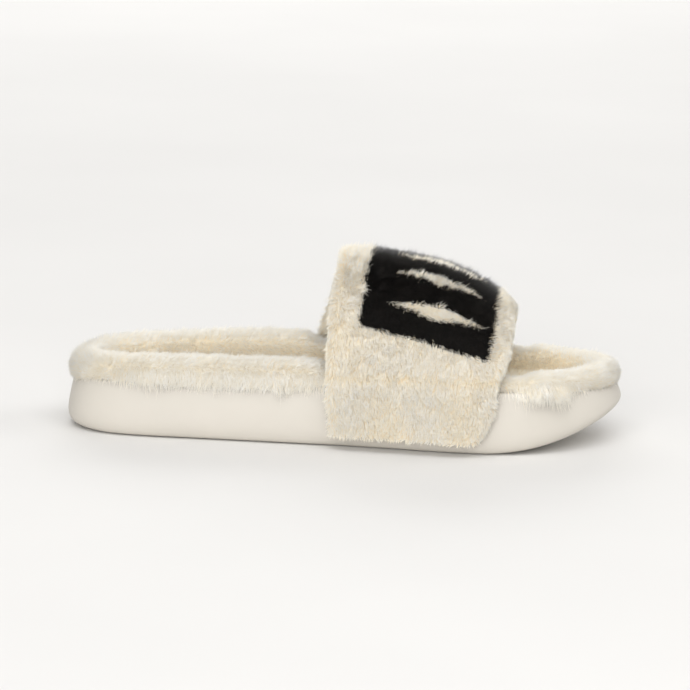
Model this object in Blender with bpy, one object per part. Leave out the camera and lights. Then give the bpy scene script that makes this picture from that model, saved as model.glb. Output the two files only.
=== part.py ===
"""A fluffy house slipper: a plush slide for the right foot, in metres.

The toe points along +X, the inner (medial) side of the foot is +Y and the floor is Z = 0. The origin is the
bottom centre of the whole slipper.
"""

import math

import bmesh
import bpy
import numpy as np

MM = 0.001

# Driving dimensions
HALF_LENGTH = 130 * MM
GAP = 0.3 * MM
HALF_STEPS = 32  # points along each side of the sole, heel to toe
HEEL_ROUNDNESS, TOE_ROUNDNESS = 8.5, 5.0  # exponents of the rounded ends of the plan outline

# Stations along X, in mm, with the plan's half width, the plan's centre line and the sole's top edge there.
HALF_WIDTH = [(-130, 34), (-90, 34.5), (-50, 34.5), (-10, 38), (25, 44.5), (60, 49), (95, 49), (130, 48)]
CENTRE_LINE = [(-130, 1), (-90, 1), (-50, -1.5), (-20, -2), (15, 0), (85, 0), (130, 4)]
TOP_EDGE = [(-130, 22.5), (-115, 25.2), (-90, 26.7), (-40, 27.5), (0, 28.6), (78, 29), (112, 28), (130, 26.5)]

TOE_SPRING, TOE_SPRING_START = 17 * MM, 67 * MM
HEEL_RISE, HEEL_RISE_START = 1.5 * MM, -100 * MM
FLOOR_HEIGHT, FLOOR_TOE_RISE = 13.5 * MM, 5 * MM  # the floor of the footbed's recess
RECESS_INSET = 7.5 * MM

BOARD_THICKNESS = 1.4 * MM
FOAM_CENTRE_THICKNESS = 3.4 * MM
FUR_DEPTH = 6.3 * MM
RIM_HEIGHT = 11.2 * MM  # the plush rim above the sole's top edge
RIM_PRESS = 4.5 * MM  # how far the strap presses that rim down
TOE_RIM_DROP = (2.4 * MM, 5.4 * MM)  # how far the rim dips at the toes: outer side, inner side
ARCH_LIFT = 4 * MM  # extra height of the inner rim at the arch

STRAP_TOP = 74 * MM  # inner face of the strap above the floor, at its rear edge
STRAP_INSET = 5 * MM  # inner face of the strap inside the sole's outline
STRAP_FOOT = 4 * MM  # the strap's lower edge above the sole's bottom
ARCH_SHARE = 0.77  # the share of the half section that arches over the foot, above the sole's side
ARCH_POWER = 2 / 2.25  # a superellipse between an ellipse and a box
LINING = (0, 1.2 * MM)  # layers of the strap, as distances out from its inner face
FOAM = (1.5 * MM, 5.0 * MM)
REINFORCEMENT = (5.3 * MM, 6.1 * MM)
PLUSH = (6.7 * MM, 13.4 * MM)
# Stations along the section, from -1 to 1 at the rear edge and on both sides alike at the front, with X in mm.
REAR_EDGE = [(-1, -5), (-0.8, -6), (-0.55, -6.5), (0, -3), (0.3, -5.5), (0.52, -10), (0.74, -16.5), (1, -16)]
FRONT_EDGE = [(0, 79), (0.35, 80), (0.55, 79), (0.8, 73), (1, 71)]
CORNER = 0.14  # height of the rounded lower front corner, as a share of the half section
CORNER_DEPTH = 15 * MM
LAYER_MARGIN = 0.06  # how far the inner layers stop short of the plush's two edges, in u
LAYER_END = 0.76  # where the lining and the padding end, just above the sole's top edge

INLAY_U = (0.18, 0.885)
INLAY_V = 0.615
INLAY_REAR = 0.785  # the inlay's width at its rear end, as a share of that at its front end
LOZENGES = [-0.45, -0.225, 0, 0.225, 0.45]
LOZENGE_U, LOZENGE_HALF = 0.58, (0.26, 0.045)

STITCH_PITCH, STITCH_LENGTH = 5 * MM, 3.4 * MM
STITCH_U = (0.11, 0.89)  # the rows of stitches along the strap's rear and front edges

STRAP_LENGTH, HALF_SECTION = 82 * MM, 108 * MM  # the plush along u, and over v from 0 to 1, about
EDGE_ROUNDING, EDGE_PLUSH = 6.5 * MM, 2 * MM  # how far in the plush's edge is rounded, and its depth there


def material(name, colour, roughness):
    made = bpy.data.materials.new(name)
    made.use_nodes = True
    shader = made.node_tree.nodes["Principled BSDF"]
    shader.inputs["Base Color"].default_value = (*colour, 1)
    shader.inputs["Roughness"].default_value = roughness
    shader.inputs["Metallic"].default_value = 0
    return made


def add_piece(name, points, faces, finish, smooth=True):
    """One closed mesh as an object, its faces turned outwards."""
    mesh = bpy.data.meshes.new(name)
    mesh.from_pydata([tuple(map(float, point)) for point in points], [], faces)
    shape = bmesh.new()
    shape.from_mesh(mesh)
    bmesh.ops.recalc_face_normals(shape, faces=shape.faces)
    shape.to_mesh(mesh)
    shape.free()
    mesh.materials.append(finish)
    if smooth:
        mesh.shade_smooth()
        mesh.set_sharp_from_angle(angle=math.radians(40))
    piece = bpy.data.objects.new(name, mesh)
    bpy.context.scene.collection.objects.link(piece)
    return piece


def cut(piece, cutter):
    cutter.hide_render = True
    cutter.display_type = "WIRE"
    modifier = piece.modifiers.new("cut", "BOOLEAN")
    modifier.operation = "DIFFERENCE"
    modifier.object = cutter


def along(stations, x):
    """A smooth curve through the stations, flat in slope at the first and the last one."""
    xs = np.array([station[0] for station in stations], float)
    ys = np.array([station[1] for station in stations], float)
    slopes = np.gradient(ys, xs)
    slopes[[0, -1]] = 0
    x = np.clip(x, xs[0], xs[-1])
    i = np.clip(np.searchsorted(xs, x, side="right") - 1, 0, len(xs) - 2)
    span = xs[i + 1] - xs[i]
    t = (x - xs[i]) / span
    rise = ys[i + 1] - ys[i]
    return (
        ys[i]
        + span * slopes[i] * (t**3 - 2 * t**2 + t)
        + rise * (3 * t**2 - 2 * t**3)
        + span * slopes[i + 1] * (t**3 - t**2)
    )


# The sole's plan and its heights


def half_width(x):
    share = abs(x) / HALF_LENGTH
    roundness = HEEL_ROUNDNESS if x < 0 else TOE_ROUNDNESS
    return along(HALF_WIDTH, x / MM) * MM * math.sqrt(max(0, 1 - share**roundness))


def centre_line(x):
    return along(CENTRE_LINE, x / MM) * MM


def outline(angle):
    """A point of the plan outline: 0 is the heel, pi the toe, and the outer side of the foot comes first."""
    x = -HALF_LENGTH * math.cos(angle)
    side = -1 if angle % math.tau < math.pi else 1
    return np.array([x, centre_line(x) + side * half_width(x)])


def inset_outline(angle, inset):
    step = 0.02
    tangent = outline(angle + step) - outline(angle - step)
    inward = np.array([-tangent[1], tangent[0]]) / np.hypot(*tangent)
    return outline(angle) + inward * inset


def bottom(x):
    toe = max(0, x - TOE_SPRING_START) / (HALF_LENGTH - TOE_SPRING_START)
    heel = max(0, HEEL_RISE_START - x) / (HALF_LENGTH + HEEL_RISE_START)
    return TOE_SPRING * toe**2 + HEEL_RISE * heel**2


def top_edge(x):
    return along(TOP_EDGE, x / MM) * MM


def recess_floor(x):
    toe = max(0, x - TOE_SPRING_START) / (HALF_LENGTH - TOE_SPRING_START)
    return FLOOR_HEIGHT + FLOOR_TOE_RISE * toe**2


def wall_height(share):
    """The height at a share of the way from the sole's bottom to its top edge."""
    return lambda x, y: bottom(x) + share * (top_edge(x) - bottom(x))


def above_edge(rise):
    return lambda x, y: top_edge(x) + rise


def above_floor(rise):
    return lambda x, y: recess_floor(x) + rise


def strap_zone(x, y):
    """1 where the strap passes, 0 elsewhere, with a short slope between. It starts further back on the inner side."""
    start = -11.75 * MM - 4.75 * MM * math.tanh(y / (10 * MM))
    rear = 1 / (1 + math.exp((start - x) / (2.5 * MM)))
    front = 1 / (1 + math.exp((x - 88 * MM) / (2 * MM)))
    return rear * front


def rim(rise, share=1):
    """A height above the sole's top edge, raised at the arch, and lower at the toe and under the strap."""

    def height(x, y):
        arch = ARCH_LIFT * math.exp(-(((x + 40 * MM) / (38 * MM)) ** 2)) if y > 0 else 0
        drop = TOE_RIM_DROP[0] if y < 0 else TOE_RIM_DROP[1]
        toe = drop * math.exp(-(((x - 104 * MM) / (22 * MM)) ** 2))
        return top_edge(x) + rise + share * (arch - toe - RIM_PRESS * strap_zone(x, y))

    return height


def under_strap(inset, least):
    """An inset that grows to the least one where the strap passes, and is the plain one elsewhere."""
    return lambda x, y: inset + max(0, least - inset) * strap_zone(x, y)


def ring(inset, height):
    """One closed row of points: the outline moved inwards, at the height given there."""
    points = []
    for step in range(2 * HALF_STEPS):
        angle = math.pi * step / HALF_STEPS
        distance = inset(*outline(angle)) if callable(inset) else inset
        x, y = inset_outline(angle, distance)
        points.append((x, y, height(x, y)))
    return points


def loft(name, rows, finish):
    """A closed solid through rings, with its first and last ring closed from side to side."""
    count = 2 * HALF_STEPS
    points = [point for row in rows for point in ring(*row)]
    faces = []
    for row in range(len(rows) - 1):
        for i in range(count):
            j = (i + 1) % count
            low, high = row * count, (row + 1) * count
            faces.append((low + i, low + j, high + j, high + i))
    for start in (0, (len(rows) - 1) * count):
        for i in range(HALF_STEPS):
            corners = [i, i + 1, (count - i - 1) % count, (count - i) % count]
            faces.append([start + corner for corner in dict.fromkeys(corners)])
    return add_piece(name, points, faces, finish)


# The strap: u runs from its rear to its front edge, v from -1 at the outer side's lower edge over the instep
# to 1 at the inner side's lower edge, and w out from the inner face.


def strap_crown(x):
    """Height of the strap's inner face over the middle of the foot."""
    x = x / MM
    return STRAP_TOP - (0.12 * (x - 5) + 0.0086 * max(0, x - 35) ** 2) * MM


def strap_x(u, v):
    rear = along(REAR_EDGE, v) * MM
    front = along(FRONT_EDGE, abs(v)) * MM
    rise = min(1, (1 - abs(v)) / CORNER)
    front -= CORNER_DEPTH * (1 - math.sqrt(1 - (1 - rise) ** 2))
    return rear + u * (front - rear)


def strap_point(u, v, w):
    x = strap_x(u, v)
    half = half_width(x) - STRAP_INSET
    base = top_edge(x)
    crown = strap_crown(x)
    wall = base - bottom(x) - STRAP_FOOT
    turns = np.linspace(math.pi / 2, 0, 121)
    across = np.clip(np.cos(turns), 0, 1) ** ARCH_POWER
    up = np.clip(np.sin(turns), 0, 1) ** ARCH_POWER
    steps = np.hypot(np.diff(across * half), np.diff(up * (crown - base)))
    lengths = np.concatenate([[0], np.cumsum(steps)])
    if abs(v) <= ARCH_SHARE:
        turn = np.interp(abs(v) / ARCH_SHARE * lengths[-1], lengths, turns)
        y = (half + w) * max(0, math.cos(turn)) ** ARCH_POWER
        z = base + (crown + w - base) * max(0, math.sin(turn)) ** ARCH_POWER
    else:
        y = half + w
        z = base - wall * (abs(v) - ARCH_SHARE) / (1 - ARCH_SHARE)
    return x, centre_line(x) + math.copysign(y, v), z


def plush_point(u, v, w):
    """A point of the plush, whose inlay fans out towards the front edge."""
    share = min(1, max(0, (u - INLAY_U[0]) / (INLAY_U[1] - INLAY_U[0])))
    side = INLAY_V * (INLAY_REAR + (1 - INLAY_REAR) * share)
    if abs(v) <= INLAY_V:
        fanned = abs(v) * side / INLAY_V
    else:
        fanned = side + (abs(v) - INLAY_V) * (1 - side) / (1 - INLAY_V)
    return strap_point(u, math.copysign(fanned, v), w)


def slab(name, us, vs, inner, outer, finish, keep=lambda u, v: True, place=strap_point):
    """A closed solid over the cells of a (u, v) grid that keep accepts, from w = inner to w = outer(u, v)."""
    columns = len(vs)
    points = [place(u, v, inner) for u in us for v in vs]
    points += [place(u, v, outer(u, v)) for u in us for v in vs]
    top = len(us) * columns
    cells = {
        (i, j)
        for i in range(len(us) - 1)
        for j in range(columns - 1)
        if keep((us[i] + us[i + 1]) / 2, (vs[j] + vs[j + 1]) / 2)
    }
    faces = []
    for i, j in sorted(cells):
        a, b = i * columns + j, (i + 1) * columns + j
        faces.append((a, a + 1, b + 1, b))
        faces.append((top + a, top + b, top + b + 1, top + a + 1))
        sides = [((i - 1, j), a, a + 1), ((i + 1, j), b, b + 1), ((i, j - 1), a, b), ((i, j + 1), a + 1, b + 1)]
        faces += [(p, q, top + q, top + p) for near, p, q in sides if near not in cells]
    used = sorted({corner for face in faces for corner in face})
    index = {corner: i for i, corner in enumerate(used)}
    faces = [tuple(index[corner] for corner in face) for face in faces]
    return add_piece(name, [points[corner] for corner in used], faces, finish)


def flat(thickness):
    return lambda u, v: thickness


def puffed(u, v):
    """The plush's outer face, rounded down to its backing at the strap's edges."""
    edge = min(min(u, 1 - u) * STRAP_LENGTH, (1 - abs(v)) * HALF_SECTION) / EDGE_ROUNDING
    share = math.sqrt(1 - (1 - min(1, edge)) ** 2)
    return PLUSH[0] + EDGE_PLUSH + (PLUSH[1] - PLUSH[0] - EDGE_PLUSH) * share


def lozenge(name, centre, size, inner, outer, finish):
    """A slender diamond that follows the strap, round one centre, from w = inner to w = outer."""
    edge = [(1, 0), (0.5, 0.5), (0, 1), (-0.5, 0.5), (-1, 0), (-0.5, -0.5), (0, -1), (0.5, -0.5)]
    points, faces = [], []
    for w in (inner, outer):
        points.append(plush_point(LOZENGE_U, centre, w))
        points += [
            plush_point(LOZENGE_U + du * scale * size[0], centre + dv * scale * size[1], w)
            for scale in (0.5, 1)
            for du, dv in edge
        ]
    for base in (0, 17):
        for i in range(8):
            j = (i + 1) % 8
            faces.append((base, base + 1 + i, base + 1 + j))
            faces.append((base + 1 + i, base + 9 + i, base + 9 + j, base + 1 + j))
    for i in range(8):
        j = (i + 1) % 8
        faces.append((9 + i, 9 + j, 26 + j, 26 + i))
    return add_piece(name, points, faces, finish, smooth=False)


def thread_row(name, sections, finish, closed=False):
    """One thread as a closed solid through its four-cornered sections, or a loop of them."""
    count = len(sections)
    points = [corner for section in sections for corner in section]
    faces = []
    for i in range(count if closed else count - 1):
        here, there = 4 * i, 4 * ((i + 1) % count)
        faces += [(here + a, here + (a + 1) % 4, there + (a + 1) % 4, there + a) for a in range(4)]
    if not closed:
        last = 4 * (count - 1)
        faces += [(0, 1, 2, 3), (last, last + 3, last + 2, last + 1)]
    return add_piece(name, points, faces, finish, smooth=False)


def strap_section(u, v, half_u, low, high):
    """The four corners of a thread's section that crosses u under the strap's inner face."""
    corners = ((-half_u, low), (half_u, low), (half_u, high), (-half_u, high))
    return [strap_point(u + du, v, w) for du, w in corners]


# Pieces


def make_sole(foam):
    wall = [(9, 0), (4, 0.01), (1.6, 0.05), (0.4, 0.14), (0, 0.28), (0.5, 0.5), (1.5, 0.75), (2.4, 0.93)]
    rings = [(inset * MM, wall_height(share)) for inset, share in [*wall, (3.1, 0.985)]]
    rings += [(4 * MM, above_edge(0)), (RECESS_INSET - 0.5 * MM, above_edge(0))]
    rings += [(RECESS_INSET, above_floor(1 * MM)), (RECESS_INSET + 1 * MM, above_floor(0))]
    sole = loft("sole_unit", rings, foam)
    cut(sole, make_tread_cutter(foam))


def make_tread_cutter(foam):
    """Chevron grooves under the heel and the ball of the foot, short of the sole's edge."""
    pitch, width, depth, edge, bend = 9 * MM, 2.4 * MM, 1.6 * MM, 10 * MM, 6 * MM
    centres = [-108 * MM + pitch * i for i in range(7)] + [8 * MM + pitch * i for i in range(7)]
    points, faces = [], []
    for x in centres:
        start = len(points)
        reach = half_width(x - bend) - edge
        for y, shift in ((-reach, -bend), (0, 0), (reach, -bend)):
            for dx in (-width / 2, width / 2):
                for z in (-2 * MM, depth):
                    points.append((x + shift + dx, centre_line(x) + y, z))
        for a in (start, start + 4):
            faces += [(a, a + 4, a + 5, a + 1), (a + 2, a + 3, a + 7, a + 6)]
            faces += [(a, a + 2, a + 6, a + 4), (a + 1, a + 5, a + 7, a + 3)]
        faces += [(start, start + 1, start + 3, start + 2), (start + 8, start + 10, start + 11, start + 9)]
    return add_piece("tread_cutter", points, faces, foam, smooth=False)


def make_footbed(board, foam, fur, thread):
    low = GAP
    loft(
        "insole_board",
        [
            (RECESS_INSET + 1.5 * MM, above_floor(low)),
            (RECESS_INSET + 1.5 * MM, above_floor(low + BOARD_THICKNESS)),
        ],
        board,
    )
    foam_low = low + BOARD_THICKNESS + GAP
    foam_high = foam_low + FOAM_CENTRE_THICKNESS
    side = RECESS_INSET + 0.8 * MM
    rim_low = RIM_HEIGHT - FUR_DEPTH
    loft(
        "footbed_foam",
        [
            (side + 1 * MM, above_floor(foam_low)),
            (side, above_floor(foam_low + 1 * MM)),
            (side, above_edge(-1 * MM)),
            (side + 0.4 * MM, rim(rim_low - 2 * MM, 0.4)),
            (side + 2.5 * MM, rim(rim_low, 0.7)),
            (side + 5.5 * MM, rim(rim_low - 2 * MM, 0.6)),
            (side + 9 * MM, above_floor(foam_high + 4 * MM)),
            (side + 15 * MM, above_floor(foam_high + 0.5 * MM)),
        ],
        foam,
    )
    # The cover's underside runs out over the foam and down to the sole's edge, and its top comes back.
    outer = side - GAP
    loft(
        "footbed_fur",
        [
            (side + 15 * MM, above_floor(foam_high + 0.5 * MM + 2 * GAP)),
            (side + 9 * MM, above_floor(foam_high + 4 * MM + 3 * GAP)),
            (side + 5.5 * MM, rim(rim_low - 0.9 * MM, 0.6)),
            (side + 2.5 * MM, rim(rim_low + 1.2 * MM, 0.7)),
            (outer - 0.6 * MM, rim(rim_low - 1.0 * MM, 0.4)),
            (outer, above_edge(1.6 * MM)),
            (under_strap(4.4 * MM, 6.9 * MM), above_edge(1.6 * MM)),
            (under_strap(3.2 * MM, 6.8 * MM), above_edge(GAP)),
            (under_strap(2 * MM, 6.7 * MM), above_edge(GAP)),
            (under_strap(1 * MM, 6.7 * MM), rim(3 * MM, 0.2)),
            (under_strap(1.4 * MM, 7.3 * MM), rim(7 * MM, 0.5)),
            (under_strap(3.5 * MM, 8.8 * MM), rim(RIM_HEIGHT - 1.2 * MM)),
            (under_strap(7.5 * MM, 11 * MM), rim(RIM_HEIGHT)),
            (12.5 * MM, rim(RIM_HEIGHT - 2 * MM, 0.8)),
            (side + 9 * MM, above_floor(foam_high + 4 * MM + FUR_DEPTH)),
            (side + 15 * MM, above_floor(foam_high + 0.5 * MM + FUR_DEPTH)),
        ],
        fur,
    )
    make_edge_stitch(thread)


def make_edge_stitch(thread):
    """The overlock thread in the channel under the plush's edge, thick over each stitch and thin between."""
    sections = []
    for step in range(2 * HALF_STEPS):
        angle = math.pi * step / HALF_STEPS
        rise = (0.7 if step % 2 else 1.1) * MM
        (x0, y0), (x1, y1) = inset_outline(angle, 7.0 * MM), inset_outline(angle, 7.8 * MM)
        low, high = top_edge(x0) + GAP, top_edge(x0) + rise
        sections.append([(x0, y0, low), (x1, y1, low), (x1, y1, high), (x0, y0, high)])
    thread_row("footbed_edge_stitch", sections, thread, closed=True)


def make_strap(lining, foam, tape, fur, black, thread):
    inner_us = np.linspace(LAYER_MARGIN, 1 - LAYER_MARGIN, 8)
    inner_vs = np.linspace(-LAYER_END, LAYER_END, 31)
    slab("strap_lining", inner_us, inner_vs, LINING[0], flat(LINING[1]), lining)
    slab("strap_foam", inner_us, inner_vs, FOAM[0], flat(FOAM[1]), foam)
    tape_vs = np.concatenate([[-0.97, -0.9, -0.82], inner_vs, [0.82, 0.9, 0.97]])
    slab("strap_reinforcement", inner_us, tape_vs, REINFORCEMENT[0], flat(REINFORCEMENT[1]), tape)

    rounding_u, rounding_v = [0, 0.012, 0.035, 0.075], [1, 0.985, 0.965, 0.94]
    us = rounding_u + list(np.linspace(*INLAY_U, 8)) + [0.925, 0.965, 0.988, 1]
    sides = list(np.linspace(0.88, INLAY_V, 6))
    middle = list(np.linspace(-INLAY_V, INLAY_V, 21))
    vs = [-v for v in rounding_v + sides[:-1]] + middle + sides[:-1][::-1] + rounding_v[::-1]

    def outside_inlay(u, v):
        return not (INLAY_U[0] < u < INLAY_U[1] and abs(v) < INLAY_V)

    slab("strap_fur", us, vs, PLUSH[0], puffed, fur, outside_inlay, plush_point)
    inlay_us = np.linspace(INLAY_U[0] + 0.004, INLAY_U[1] - 0.004, 8)
    inlay_vs = np.linspace(-INLAY_V + 0.003, INLAY_V - 0.003, 21)
    inlay = slab("strap_black_inlay", inlay_us, inlay_vs, PLUSH[0], flat(PLUSH[1]), black, place=plush_point)
    window = [half + growth for half, growth in zip(LOZENGE_HALF, (0.03, 0.005))]
    for i, centre in enumerate(LOZENGES, 1):
        cutter = lozenge(f"window_{i}", centre, window, PLUSH[0] - 1.5 * MM, PLUSH[1] + 1.5 * MM, black)
        cut(inlay, cutter)
        lozenge(f"strap_lozenge_{i}", centre, LOZENGE_HALF, PLUSH[0] + GAP, PLUSH[1], fur)

    make_edge_rows(thread)


def make_edge_rows(thread):
    """The threads that close the strap's two edges, thick over each stitch and thin between two."""
    count = int(2 * LAYER_END * HALF_SECTION / STITCH_PITCH) - 3
    for name, u in zip(("strap_rear_stitch", "strap_front_stitch"), STITCH_U):
        sections = []
        for i in range(count):
            start = (i - (count - 1) / 2) * STITCH_PITCH
            middle = (STITCH_LENGTH + STITCH_PITCH) / 2
            for shift, depth in ((0, 1.2 * MM), (middle, 0.9 * MM)):
                sections.append(strap_section(u, (start + shift) / HALF_SECTION, 0.005, -depth, -2 * GAP))
        thread_row(name, sections, thread)


def make_label(cloth, thread):
    us, vs = np.linspace(0.36, 0.64, 5), np.linspace(0.52, 0.62, 4)
    slab("strap_label", us, vs, -1.1 * MM, flat(-2 * GAP), cloth)
    for name, u in (("label_rear_stitch", 0.38), ("label_front_stitch", 0.62)):
        sections = [strap_section(u, v, 0.006, -2.0 * MM, -1.5 * MM) for v in np.linspace(0.53, 0.61, 9)]
        thread_row(name, sections, thread)


def main():
    for old in list(bpy.data.objects):
        bpy.data.objects.remove(old)
    sole_foam = material("sole_foam", (0.82, 0.78, 0.69), 0.5)
    board = material("fibre_board", (0.45, 0.34, 0.22), 0.8)
    soft_foam = material("soft_foam", (0.85, 0.80, 0.66), 0.85)
    cream_fur = material("cream_plush", (0.80, 0.73, 0.56), 0.9)
    black_fur = material("black_plush", (0.012, 0.009, 0.008), 0.85)
    lining = material("lining_knit", (0.80, 0.75, 0.64), 0.8)
    tape = material("reinforcing_fabric", (0.75, 0.73, 0.68), 0.8)
    thread = material("thread", (0.83, 0.78, 0.66), 0.6)
    label = material("label_cloth", (0.9, 0.88, 0.82), 0.7)
    make_sole(sole_foam)
    make_footbed(board, soft_foam, cream_fur, thread)
    make_strap(lining, soft_foam, tape, cream_fur, black_fur, thread)
    make_label(label, thread)


main()
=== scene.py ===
"""The looks of the fluffy house slipper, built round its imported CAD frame, in metres.

The toe points along +X, the inner (medial) side of the foot is +Y and the floor is Z = 0. Each CAD solid is
replaced by what it stands for: a moulded sole, cloth layers, or plush made of a ground and single strands.
"""

import itertools
import math

import bmesh
import bpy
import numpy as np
from mathutils import Matrix, Vector

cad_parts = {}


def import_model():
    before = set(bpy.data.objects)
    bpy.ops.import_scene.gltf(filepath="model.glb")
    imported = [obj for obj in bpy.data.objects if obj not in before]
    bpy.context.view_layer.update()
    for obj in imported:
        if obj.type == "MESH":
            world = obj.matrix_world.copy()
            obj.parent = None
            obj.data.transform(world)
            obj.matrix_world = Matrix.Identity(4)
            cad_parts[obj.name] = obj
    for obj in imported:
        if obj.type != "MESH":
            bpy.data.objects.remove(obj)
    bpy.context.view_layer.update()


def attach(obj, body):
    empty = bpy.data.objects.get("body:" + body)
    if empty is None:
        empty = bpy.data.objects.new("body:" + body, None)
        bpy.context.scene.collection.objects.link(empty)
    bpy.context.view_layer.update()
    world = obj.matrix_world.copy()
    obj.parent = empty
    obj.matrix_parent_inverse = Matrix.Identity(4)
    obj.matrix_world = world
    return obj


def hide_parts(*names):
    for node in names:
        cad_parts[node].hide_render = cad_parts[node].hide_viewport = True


MM = 0.001

# The slipper's shape, as in the CAD
HALF_LENGTH = 130 * MM
GAP = 0.3 * MM
HEEL_ROUNDNESS, TOE_ROUNDNESS = 8.5, 5.0
HALF_WIDTH = [(-130, 34), (-90, 34.5), (-50, 34.5), (-10, 38), (25, 44.5), (60, 49), (95, 49), (130, 48)]
CENTRE_LINE = [(-130, 1), (-90, 1), (-50, -1.5), (-20, -2), (15, 0), (85, 0), (130, 4)]
TOP_EDGE = [(-130, 22.5), (-115, 25.2), (-90, 26.7), (-40, 27.5)]
TOP_EDGE += [(0, 28.6), (78, 29), (112, 28), (130, 26.5)]
TOE_SPRING, TOE_SPRING_START = 17 * MM, 67 * MM
HEEL_RISE, HEEL_RISE_START = 1.5 * MM, -100 * MM
FLOOR_HEIGHT, FLOOR_TOE_RISE = 13.5 * MM, 5 * MM
RECESS_INSET = 7.5 * MM
BOARD_THICKNESS = 1.4 * MM
FOAM_CENTRE_THICKNESS = 3.4 * MM
FOAM_RIM_HEIGHT = 4.9 * MM
RIM_PRESS = 4.5 * MM
TOE_RIM_DROP = (2.4 * MM, 5.4 * MM)
ARCH_LIFT = 4 * MM
STRAP_TOP = 74 * MM
STRAP_INSET = 5 * MM
STRAP_FOOT = 4 * MM
ARCH_SHARE = 0.77
ARCH_POWER = 2 / 2.25
LINING = (0, 1.2 * MM)
FOAM = (1.5 * MM, 5.0 * MM)
REINFORCEMENT = (5.3 * MM, 6.1 * MM)
PARTING_V = 0.70  # where the strap's pile parts, along the foot's side just above the sole
GROUND_W = 9.0 * MM  # where the strap's pile is rooted: the cloth's outer face, with its dense underfur
REAR_EDGE = [(-1, -5), (-0.8, -6), (-0.55, -6.5), (0, -3)]
REAR_EDGE += [(0.3, -5.5), (0.52, -10), (0.74, -16.5), (1, -16)]
FRONT_EDGE = [(0, 79), (0.35, 80), (0.55, 79), (0.8, 73), (1, 71)]
CORNER = 0.14
CORNER_DEPTH = 15 * MM
LAYER_MARGIN = 0.06
LAYER_END = 0.76
INLAY_U = (0.18, 0.885)
INLAY_V = 0.615
INLAY_REAR = 0.785
LOZENGES = [-0.45, -0.225, 0, 0.225, 0.45]
LOZENGE_U, LOZENGE_HALF = 0.58, (0.26, 0.045)
STRAP_LENGTH, HALF_SECTION = 82 * MM, 108 * MM

# Fineness of the meshes
RING_STEPS = 192  # points along each side of a loft
ARC_STEPS = 120  # steps along each half of the strap's arch
THREAD_SIDES = 8
PIECE_STRANDS = 19500  # strands in one piece of pile
PILE_WIDTH = 0.24 * MM
GUARD_SHARE = 0.05  # the share of strands that stand out of the pile as longer, straighter hairs
OWN_NORMAL = 0.2  # how far a strand is shaded as a round fibre, and not as the surface it grows from

SEED = 11
UP, AHEAD = np.array([0, 0, 1.0]), np.array([1.0, 0, 0])


# Small tools


def unit(vectors):
    return vectors / np.linalg.norm(vectors, axis=-1, keepdims=True).clip(1e-12)


def smooth(low, high, x):
    t = np.clip((x - low) / (high - low), 0, 1)
    return t * t * (3 - 2 * t)


def blend(one, other, share):
    """Vectors between the one and the other, by each one's share."""
    return one * (1 - share)[:, None] + other * share[:, None]


def along(stations, x):
    """A smooth curve through the stations, flat at the first and the last one."""
    xs, ys = np.array(stations, float).T
    slopes = np.gradient(ys, xs)
    slopes[[0, -1]] = 0
    x = np.clip(x, xs[0], xs[-1])
    i = np.clip(np.searchsorted(xs, x, side="right") - 1, 0, len(xs) - 2)
    span = xs[i + 1] - xs[i]
    t = (x - xs[i]) / span
    rise = ys[i + 1] - ys[i]
    return (
        ys[i]
        + span * slopes[i] * (t**3 - 2 * t**2 + t)
        + rise * (3 * t**2 - 2 * t**3)
        + span * slopes[i + 1] * (t**3 - t**2)
    )


def curve_through(rows, steps):
    """Rows of points with steps rows for each span, on a smooth curve through the given ones."""
    rows = np.asarray(rows, float)
    ends = np.concatenate([2 * rows[:1] - rows[1:2], rows, 2 * rows[-1:] - rows[-2:-1]])
    fine = []
    for i in range(len(rows) - 1):
        a, b, c, d = ends[i : i + 4]
        for t in np.arange(steps) / steps:
            bend = (2 * a - 5 * b + 4 * c - d) * t**2 + (3 * b - a - 3 * c + d) * t**3
            fine.append((2 * b + (c - a) * t + bend) / 2)
    fine.append(rows[-1])
    return np.array(fine)


# The sole's plan and its heights


def half_width(x):
    share = np.abs(x) / HALF_LENGTH
    roundness = np.where(x < 0, HEEL_ROUNDNESS, TOE_ROUNDNESS)
    return along(HALF_WIDTH, x / MM) * MM * np.sqrt(np.clip(1 - share**roundness, 0, 1))


def centre_line(x):
    return along(CENTRE_LINE, x / MM) * MM


def outline(angle):
    """Points of the plan outline: 0 is the heel, pi the toe, and the outer side comes first."""
    x = -HALF_LENGTH * np.cos(angle)
    side = np.where(angle % math.tau < math.pi, -1, 1)
    return np.stack([x, centre_line(x) + side * half_width(x)], axis=-1)


def outward(angle):
    """The plan direction away from the sole, at each angle."""
    step = 0.02
    tangent = outline(angle + step) - outline(angle - step)
    return unit(np.stack([tangent[..., 1], -tangent[..., 0]], axis=-1))


def toe_share(x):
    """0 up to where the toe springs, and 1 at its tip."""
    return np.clip(x - TOE_SPRING_START, 0, None) / (HALF_LENGTH - TOE_SPRING_START)


def bottom(x):
    heel = np.clip(HEEL_RISE_START - x, 0, None) / (HALF_LENGTH + HEEL_RISE_START)
    return TOE_SPRING * toe_share(x) ** 2 + HEEL_RISE * heel**2


def top_edge(x):
    return along(TOP_EDGE, x / MM) * MM


def recess_floor(x):
    return FLOOR_HEIGHT + FLOOR_TOE_RISE * toe_share(x) ** 2


def wall_height(share):
    """The height at a share of the way from the sole's bottom to its top edge."""
    return lambda x, y: bottom(x) + share * (top_edge(x) - bottom(x))


def above_edge(rise):
    return lambda x, y: top_edge(x) + rise


def above_floor(rise):
    return lambda x, y: recess_floor(x) + rise


def strap_zone(x, y):
    """1 where the strap passes and 0 elsewhere. It starts further back on the inner side."""
    start = -11.75 * MM - 4.75 * MM * np.tanh(y / (10 * MM))
    rear = 1 / (1 + np.exp((start - x) / (2.5 * MM)))
    front = 1 / (1 + np.exp((x - 88 * MM) / (2 * MM)))
    return rear * front


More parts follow.
